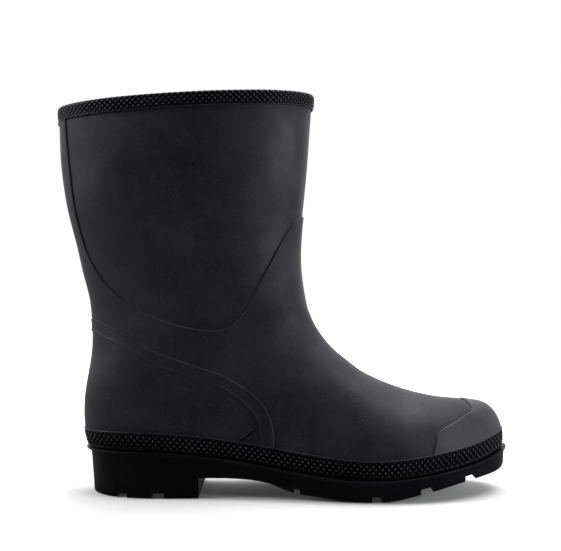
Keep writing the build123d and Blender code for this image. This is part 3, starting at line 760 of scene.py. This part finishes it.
fade = np.interp(heights, [2.0, 2.6, 11.5, 12.0], [0.25, 1, 1, 0.25])[:, None]
thickness = np.where(in_knurl[:, None], 0.12 + 1.0 * ridges * fade + 0.4 * (1 - fade), bead[:, None])
foxing = base + outward * thickness[..., None]
foxing_net = Net().grid(foxing[::-1], wrap=True)
foxing_net.build("foxing_strip", TRIM_RUBBER, "trim_rubber", ["foxing_band"], sharp=60)

# ---------- binding of the top opening
# Its profile is (outside the bare rubber, over the rim plane), from the outer lower edge over the top
# and down inside.
OUTER_GROW, INNER_GROW = 1.25, -3.85
RIM_STEPS = [(0.7, -10.0), (1.2, -10.0), (1.42, -9.8), (1.45, -9.45)]
RIM_STEPS += [(OUTER_GROW, h) for h in np.linspace(-9.1, -1.45, 22)]
for a in np.radians(np.linspace(0, 90, 7)[1:]):
    RIM_STEPS.append((OUTER_GROW - 1.4 * (1 - math.cos(a)), -1.45 + 1.2 * math.sin(a)))
RIM_STEPS += [(g, -0.25) for g in np.linspace(-0.15, -2.5, 8)[1:]]
for a in np.radians(np.linspace(0, 90, 5)[1:]):
    RIM_STEPS.append((-2.5 - 1.35 * math.sin(a), -0.25 - 1.3 * (1 - math.cos(a))))
RIM_STEPS += [(INNER_GROW, h) for h in np.linspace(-1.55, -5.0, 6)[1:]] + [(-3.4, -5.2)]
RIM_PITCH, RIM_RISE = 4.05, 1.9
steps = np.array(RIM_STEPS)
lengths = way_along(steps)
tangent = np.gradient(steps, axis=0)
tangent /= np.linalg.norm(tangent, axis=1)[:, None]
step_normal = np.stack([tangent[:, 1], -tangent[:, 0]], -1)
probe_u = np.linspace(0, 1, 721)
probe_way = way_along(near_rim(probe_u, -5.0, 1.8))
rim_u, rim_along = diamond_places(probe_way, probe_u, RIM_PITCH)
rim_ridges = knurl(rim_along[None], (lengths - lengths[3])[:, None], RIM_PITCH, RIM_RISE)
knurled = np.interp(lengths, [lengths[3], lengths[4] + 0.2, lengths[-8], lengths[-6]], [0, 1, 1, 0])
worn_inside = np.interp(lengths, [7.8, 9.6], [1.0, 0.3])
raised = (0.80 * rim_ridges - 0.22) * knurled[:, None] * worn_inside[:, None]
rim_grow = steps[:, :1] + step_normal[:, :1] * raised
rim_level = steps[:, 1:] + step_normal[:, 1:] * raised
rim_u_grid = np.broadcast_to(rim_u, rim_grow.shape)
rim = near_rim(rim_u_grid, rim_level, rim_grow)
Net().grid(rim[::-1], wrap=True).build("rim_binding", TRIM_RUBBER, "trim_rubber", ["rim_band"], sharp=60)

TAB_HALF, TAB_LOW, TAB_HIGH, TAB_CORNER = 10.0, -12.5, -9.9, 1.2
TAB_SPAN = 0.12
tab_y = np.linspace(-TAB_HALF, TAB_HALF, 81)
tab_h = np.linspace(TAB_LOW, TAB_HIGH, 17)
side_u = np.concatenate([np.linspace(-TAB_SPAN, 0.0, 60, endpoint=False), np.linspace(0.0, TAB_SPAN, 61)])
side_y = near_rim(side_u, -13.0, 1.0)[:, 1]
tab_u = np.interp(tab_y, side_y[::-1], side_u[::-1])
Y, H = np.meshgrid(tab_y, tab_h)
TAB_U = np.broadcast_to(tab_u, Y.shape)
gap_side = TAB_HALF - np.abs(Y)
gap_low = H - TAB_LOW
corner = (gap_side < TAB_CORNER) & (gap_low < TAB_CORNER)
rounded = TAB_CORNER - np.hypot(TAB_CORNER - gap_side, TAB_CORNER - gap_low)
to_edge = np.where(corner, rounded, np.minimum(gap_side, gap_low))
body_rise = np.sqrt(np.clip(to_edge, 0, 0.8) / 0.8)
tab_ridges = knurl(Y, H + 9.45, RIM_PITCH, RIM_RISE) * np.clip((to_edge - 0.5) / 0.5, 0, 1)
tab_grow = np.where(to_edge > 0, 0.95 + 0.35 * body_rise + 0.6 * tab_ridges, 0.9)
tab = near_rim(TAB_U, H, tab_grow)
Net().grid(tab).build("rim_tab", TRIM_RUBBER, "trim_rubber", ["rim_back_tab"], sharp=60)

# ---------- outsole
LIP_HEIGHT = 1.8
SOLE_TAPER = 2.4
TAPER_HEIGHT = 32
TOE_FILL = 2.6
GROOVE_DEPTH = 3.6
STEP_GAP = 0.02
STEP_ROUND = 0.3
round_spots, round_normals = plan_at(np.linspace(0, 1, 4001))
front_index = int(round_spots[:, 0].argmax())
rear_x, front_x = round_spots[0, 0], round_spots[front_index, 0]
# Stations along the sole, closer together at both ends and doubled at each step of the tread.
even_steps = np.linspace(0, 1, 560)
sweep = 0.7 * even_steps + 0.3 * (1 - np.cos(math.pi * even_steps)) / 2
stations = list(rear_x + (front_x - rear_x) * sweep)
for x in [HEEL_BREAST] + [x for low, high, _ in LUG_GAPS for x in (low, high)]:
    stations = [v for v in stations if abs(v - x) > STEP_ROUND + 0.05]
    stations += [x - STEP_ROUND, x - STEP_GAP, x + STEP_GAP, x + STEP_ROUND]
stations = np.array(sorted(stations))


def plan_side(part):
    """x, y and the outward normal at each station, along one side of the plan from back to front."""
    xs, columns = round_spots[part, 0], [round_spots[part, 1], *round_normals[part].T]
    return [stations] + [np.interp(stations, xs, values) for values in columns]


def gap_depth(x):
    """How far the tread is cut away at the edge of the sole, and the |y| where the cut ends."""
    for low, high, inner in LUG_GAPS:
        if low < x < high:
            return GROOVE_DEPTH, inner
    return 0.0, 0.0


def wall_offset(x, z):
    """How far the sole's wall stands outside its plan: taper, and the fuller wall at the toe."""
    toe = np.clip((x - 100) / 50, 0, 1)
    return -SOLE_TAPER + SOLE_TAPER * z / TAPER_HEIGHT + TOE_FILL * toe**1.5


depths, inner_ends = np.array([gap_depth(x) for x in stations]).T
floor = np.where(stations < HEEL_BREAST, 0.0, underside_curve(np.clip(stations, -55, 163)))
low = floor + depths
top = feather(stations)
lip = 3.0 + 0.6 * (stations - rear_x) / (front_x - rear_x)
wall_top = top - LIP_HEIGHT
base_top = wall_offset(stations, top)
base_low = wall_offset(stations, low)
# The wall's profile from the top of the lip down to the tread: (outside the plan, z).
WALL_ROWS = [
    (-5.0, top - 0.1), (lip - 0.9, top - 0.1), (lip - 0.35, top - 0.2), (lip, top - 0.6), (lip, top - 1.3),
    (lip - 0.3, top - 1.7), (lip - 0.9, wall_top), (base_top + 0.5, wall_top - 0.05),
    (base_top + 0.12, wall_top - 0.3), (base_top, wall_top - 0.9),
]
for part in (0.15, 0.35, 0.6, 0.85):
    z = wall_top - 0.9 - (wall_top - 0.9 - low - 0.9) * part
    WALL_ROWS.append((wall_offset(stations, z), z))
WALL_ROWS += [(base_low, low + 0.8), (base_low - 0.2, low + 0.25), (base_low - 0.75, low)]
sole = Net()
edges = []
for side in (slice(0, front_index + 1), slice(None, front_index - 1, -1)):
    x, y, nx, ny = plan_side(side)
    wall = np.stack([np.stack([x + nx * o, y + ny * o, np.maximum(z, 0)], -1) for o, z in WALL_ROWS])
    edges.append(wall[-1])
    sole.grid(wall, flip=len(edges) == 2)
outer_edge, inner_edge = edges

# The tread's lines run from the outer to the inner edge, with a pair of lines at each gap's inner end.
REST_END_X = [-135, -110, 0, 60, 120, 156]
REST_END_Y = [4, 19, 24, 31, 20, 2]
RIB_PITCH, RIB_SLANT, RIB_CUT = 5.0, 0.35, 0.9
drift = 0.03 * np.maximum(stations, 0)
end_y = np.where(depths > 0, inner_ends, np.interp(stations, REST_END_X, REST_END_Y))
outer_end = drift - np.minimum(end_y, 0.72 * np.abs(outer_edge[:, 1] - drift))
inner_end = drift + np.minimum(end_y, 0.72 * np.abs(inner_edge[:, 1] - drift))
lines = [(outer_edge[:, 1] + (outer_end - outer_edge[:, 1]) * part, depths) for part in np.linspace(0, 1, 5)]
lines.append((outer_end + 0.03, 0))
lines += [(outer_end + (inner_end - outer_end) * part, 0) for part in np.linspace(0, 1, 41)[1:-1]]
lines.append((inner_end - 0.03, 0))
lines += [(inner_end + (inner_edge[:, 1] - inner_end) * part, depths) for part in np.linspace(0, 1, 5)]
tread = []
for k, (y, cut) in enumerate(lines):
    x = outer_edge[:, 0] + (inner_edge[:, 0] - outer_edge[:, 0]) * k / (len(lines) - 1)
    if 5 < k < len(lines) - 6:
        rib = 0.5 + 0.5 * np.cos((x + RIB_SLANT * np.abs(y - drift)) * 2 * math.pi / RIB_PITCH)
        ribbed = ((x > 22) & (x < 120)) | ((x > -122) & (x < -66))
        cut = RIB_CUT * np.clip((rib - 0.55) / 0.2, 0, 1) * ribbed
    tread.append(np.stack([x, y, np.maximum(floor + cut, 0)], -1))
sole.build("outsole_rubber", SOLE_RUBBER, "sole_rubber", ["outsole"], sharp=38)
Net().grid(np.array(tread), flip=True).build("outsole_tread", TREAD_RUBBER, "sole_rubber", sharp=38)

# ---------- lining, facing tape and footbed
LINING_FACE = -3.45
TAPE_FACE = -4.2
TAPE_LEVELS = [-29.6, -27, -20, -12, -6, -3]
TAPE_STEPS = [(-3.3, -30), (-3.9, -30)] + [(TAPE_FACE, h) for h in TAPE_LEVELS] + [(-3.3, -2.6)]
STITCH, STITCH_GAP, STITCH_SIDES = 2.3, 0.9, 6
THREAD_RADIUS = 0.26
STITCH_LEVELS = (-27.6, -7.0)
lining_u = np.linspace(0, 1, 181)
lining_top = at_rim_height(lining_u, -2.0)
lining_s = lining_top + (LAST - 3 - lining_top) * np.linspace(0, 1, 150)[:, None]
lining_U = np.broadcast_to(lining_u, lining_s.shape)
inside_face = seated(surface(lining_s, lining_U, LINING_FACE), 1.6)
Net().grid(inside_face, flip=True).build("knit_lining", LINING_CLOTH, "knit_lining", ["lining"])

tape_u = np.linspace(0, 1, 301)
tape = np.array([near_rim(tape_u, h, g) for g, h in TAPE_STEPS])
Net().grid(tape).build("facing_tape_band", TAPE_CLOTH, "facing_tape", ["rim_facing"])

tape_length = way_along(near_rim(probe_u, -28.0, TAPE_FACE))
count = int(tape_length[-1] / (STITCH + STITCH_GAP))
spread = np.linspace(-0.5, 0.5, 7)
arch = 0.30 * np.sqrt(np.clip(1 - (2 * spread) ** 2, 0, 1))
stitches = Net()
for level in STITCH_LEVELS:
    for k in range(count):
        mid = (k + 0.5) * tape_length[-1] / count
        u = np.interp(mid + spread * STITCH, tape_length, probe_u)
        ring = []
        for a in np.linspace(0, 2 * math.pi, STITCH_SIDES + 1)[:-1]:
            out, up = THREAD_RADIUS * math.cos(a), THREAD_RADIUS * math.sin(a)
            ring.append(near_rim(u, level + up, TAPE_FACE - arch + out))
        stitches.grid(np.array(ring + [ring[0]]))
stitches.build("tape_stitches", THREAD, "facing_tape")

cavity = tree_of(surface(grid_s, U, -3.7))
BED_LOW, BED_HIGH, BED_INSET = 2.05, 5.55, 0.4
CLOTH_WALL = 0.85
TOE_MIDDLE = 3.0  # how far the toes lie to the inner side


def wall_hit(start, way):
    """Where a ray from inside the foot meets the lining."""
    return cavity.ray_cast(Vector(start), Vector(way))[0]


rear = wall_hit((-60, 0, 32 + BED_HIGH), (-1, 0, 0)).x + BED_INSET
front = wall_hit((100, TOE_MIDDLE, float(feather(148)) + BED_HIGH), (1, 0, 0)).x - BED_INSET
bed_x = rear + (front - rear) * (1 - np.cos(np.linspace(0.03, math.pi - 0.03, 90))) / 2
bed_ends = []
for x in bed_x:
    start = Vector((x, TOE_MIDDLE * np.clip((x - 60) / 90, 0, 1), float(feather(x)) + BED_HIGH))
    bed_ends.append([(wall_hit(start, (0, side, 0)) or start).y - side * BED_INSET for side in (-1, 1)])
bed_ends = np.array(bed_ends)
across = np.linspace(0, 1, 61)
bed_w = bed_ends[:, :1] + (bed_ends[:, 1:] - bed_ends[:, :1]) * across[None]
bed_along, bed_z = bed_x[:, None] + 0 * bed_w, feather(bed_x)[:, None] + 0 * bed_w
hollow = 4 * across * (1 - across)
heel_cup = np.clip((-40 - bed_x) / 50, 0, 1)[:, None]
arch_rise = np.exp(-(((bed_x + 15) / 32) ** 2))[:, None] * np.clip(across * 2 - 1.1, 0, 1)[None] * 2.4
foam_top = np.stack([bed_along, bed_w, bed_z + BED_HIGH], -1)
foam_low = np.stack([bed_along, bed_w, bed_z + BED_LOW], -1)


def slab(low, top, under):
    """Net of a sheet: its top, its underside and the four strips that close its edge."""
    net = Net().grid(top, flip=True).grid(under)
    for end in (0, -1):
        net.grid(np.stack([low[:, end], top[:, end]]), flip=end == 0)
    for end in (0, -1):
        net.grid(np.stack([low[end], top[end]]), flip=end == -1)
    return net


foam = slab(foam_low, foam_top, foam_low).build("footbed_cushion", FOAM, "footbed_foam", ["footbed_foam"])
DIMPLE_PITCH = 6.0
dimple = 0.22 * (np.cos(bed_along * 2 * math.pi / DIMPLE_PITCH) * np.cos(bed_w * 2 * math.pi / DIMPLE_PITCH))
edge_round = 0.6 * (1 - np.clip(np.minimum(across, 1 - across) * 22, 0, 1) ** 0.5)[None]
cloth_top = foam_top.copy()
cloth_top[..., 2] += CLOTH_WALL + dimple - edge_round + 1.1 * heel_cup * (1 - hollow)[None] + arch_rise
cloth = slab(foam_top, cloth_top, foam_top + np.array([0, 0, 0.05]))
cloth.build("footbed_face_cloth", BED_CLOTH, "footbed_cloth", ["footbed_cover"])

# ---------- creases above the foxing strip
CREASES = [[(-69.5, 57.2), (-68.2, 54.6), (-66, 50.6), (-63.6, 45.4)],
           [(-27.4, 40.2), (-24, 43), (-18.4, 47.2)]]
# Half of a crease's profile from its middle line: (sideways, grow); the other half mirrors it.
CREASE_HALF = [(0, 1.01), (0.2, 1.3), (0.38, 1.74), (0.62, 1.82), (1, 1.66), (1.6, 1.38), (2.4, 1.12),
               (3.4, 0.985)]
# Profile of the painted shade strip that lies in the second crease's fold.
FOLD_SHADE_HALF = [(0, 1.6), (0.5, 1.95), (1.0, 1.3)]


def crease(name, line, half, rest, material):
    """A strip over a line on the sheet that fades to the height `rest` at both ends."""
    shape = [(-d, g) for d, g in half[:0:-1]] + half
    ends = np.sin(np.linspace(0, math.pi, len(line))) ** 0.6
    rows = slide(line, [d for d, g in shape])
    points = [over(row, rest + (g - rest) * ends) for row, (d, g) in zip(rows, shape)]
    Net().grid(np.stack(points), flip=True).build(name, material, "overlay_rubber", sharp=70)


for number, marks in enumerate(CREASES, 1):
    line = dense([locate((x, None, z), 0.0, 0.5) for x, z in marks], 0.5)
    crease(f"crease_{number}", line, CREASE_HALF, 0.985, FOOT_RUBBER)
# Painted shade: a strip of the near-black sole rubber along the second crease's fold stands in for the shade
# in it.
crease("crease_2_painted_shade", line, FOLD_SHADE_HALF, 1.0, SOLE_RUBBER)  # only the second one has a dark fold

# ---------- hidden CAD pieces that stay
STIFFENER, CORE = (0.20, 0.19, 0.17), (0.06, 0.055, 0.05)
HIDDEN = {
    "toe_puff": STIFFENER, "heel_counter": STIFFENER, "insole_board": (0.42, 0.34, 0.25),
    "shank": (0.45, 0.45, 0.46), "forepart_filler": CORE, "heel_core": CORE,
}
for node, color in HIDDEN.items():
    steel = node == "shank"
    material, tree, body = shader(node + "_look", color, 0.35 if steel else 0.85)
    feed(tree, body, {"Metallic": float(steel)})
    bump(tree, body, [(noise(tree, 400.0, 4.0), 0.4, 0.1)])
    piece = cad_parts[node]
    piece.data.materials.clear()
    piece.data.materials.append(material)

# ---------- floor, light and camera
bpy.ops.mesh.primitive_circle_add(vertices=96, radius=3.0, fill_type="NGON", location=(0, 0, -0.0002))
floor_piece = bpy.context.object
floor_piece.name = "studio_floor"
floor_material, ground, floor_body = shader("floor_look", (0.92, 0.92, 0.92), 0.9, 0.1)
floor_place = add_node(ground, "TexCoord", {}).outputs["Object"]
floor_reach = add_node(ground, "VectorMath", {0: floor_place}, "LENGTH").outputs["Value"]
# The floor's own glow fades from 0.9 far away to 0.02 near the boot: painted shade round the boot, which
# keeps the shadows there darker than the glowing floor would leave them.
floor_glow = {"Value": floor_reach, "From Min": 0.15, "From Max": 0.9, "To Min": 0.02, "To Max": 0.9}
feed(ground, floor_body, {
    "Emission Color": (1, 1, 1, 1),
    "Emission Strength": add_node(ground, "MapRange", floor_glow).outputs["Result"],
})
# Rays other than the camera's see a dim floor, which lights the boot only a little from below. Shadow
# rays and rays from below pass through it.
dim_floor = add_node(ground, "BsdfDiffuse", {"Color": (0.16, 0.16, 0.16, 1)}).outputs["BSDF"]
open_floor = add_node(ground, "BsdfTransparent", {}).outputs["BSDF"]
floor_ray = add_node(ground, "LightPath", {}).outputs
floor_back = add_node(ground, "NewGeometry", {}).outputs["Backfacing"]
passing = {0: floor_back, 1: floor_ray["Is Shadow Ray"]}
passes = add_node(ground, "Math", passing, "MAXIMUM").outputs["Value"]
lit_mix = {"Fac": floor_ray["Is Camera Ray"], 1: dim_floor, 2: floor_body.outputs["BSDF"]}
lit_floor = add_node(ground, "MixShader", lit_mix).outputs["Shader"]
whole_floor = add_node(ground, "MixShader", {"Fac": passes, 1: lit_floor, 2: open_floor})
feed(ground, ground.nodes["Material Output"], {"Surface": whole_floor.outputs["Shader"]})
floor_piece.data.materials.append(floor_material)

# The camera sees a white world; the boot is lit by one that is brightest behind it, towards +Y.
world = bpy.data.worlds.new("studio")
bpy.context.scene.world = world
world.use_nodes = True
sky = world.node_tree
direction = add_node(sky, "TexCoord", {}).outputs["Generated"]
behind_share = add_node(sky, "SeparateXYZ", {"Vector": direction}).outputs["Y"]
sky_glow = {"Value": behind_share, "From Min": -0.30, "From Max": 0.60, "To Min": 0.015, "To Max": 1.25}
strength = add_node(sky, "Mix", {})
strength.data_type = "FLOAT"
feed(sky, strength, {
    "Factor": add_node(sky, "LightPath", {}).outputs["Is Camera Ray"],
    "A": add_node(sky, "MapRange", sky_glow).outputs["Result"],
    "B": 1.0,
})
feed(sky, sky.nodes["Background"], {"Strength": strength.outputs["Result"], "Color": (1, 1, 1, 1)})


def softbox(name, place, aim, size, power):
    """A rectangular area light."""
    data = bpy.data.lights.new(name, "AREA")
    data.shape = "RECTANGLE"
    data.size, data.size_y = size
    data.energy = power
    lamp = bpy.data.objects.new(name, data)
    lamp.location = place
    lamp.rotation_euler = (Vector(aim) - Vector(place)).to_track_quat("-Z", "Y").to_euler()
    bpy.context.collection.objects.link(lamp)
    return lamp


softbox("overhead", (0.30, 0.22, 1.35), (0.03, 0, 0), (1.4, 1.0), 22)
softbox("right", (1.20, -0.52, 0.30), (0.14, 0, 0.04), (0.5, 0.6), 9)
softbox("left", (-1.10, -0.22, 0.72), (-0.13, 0, 0.24), (0.5, 0.7), 10)
softbox("below", (0.02, 0.05, -0.60), (0, 0, 0), (0.7, 0.5), 6).visible_camera = False

camera = bpy.data.objects.new("camera", bpy.data.cameras.new("camera"))
camera.data.sensor_width = 36
camera.data.lens = 1008 / 561 * 36  # focal length over the picture's width, both in pixels, by the sensor
camera.data.clip_start = 0.01
camera.location = (-0.0007, -0.720, 0.1518)
camera.rotation_euler = (math.radians(90), 0, 0)
bpy.context.collection.objects.link(camera)
bpy.context.scene.camera = camera
bpy.context.scene.view_settings.view_transform = "Standard"

bpy.context.view_layer.update()
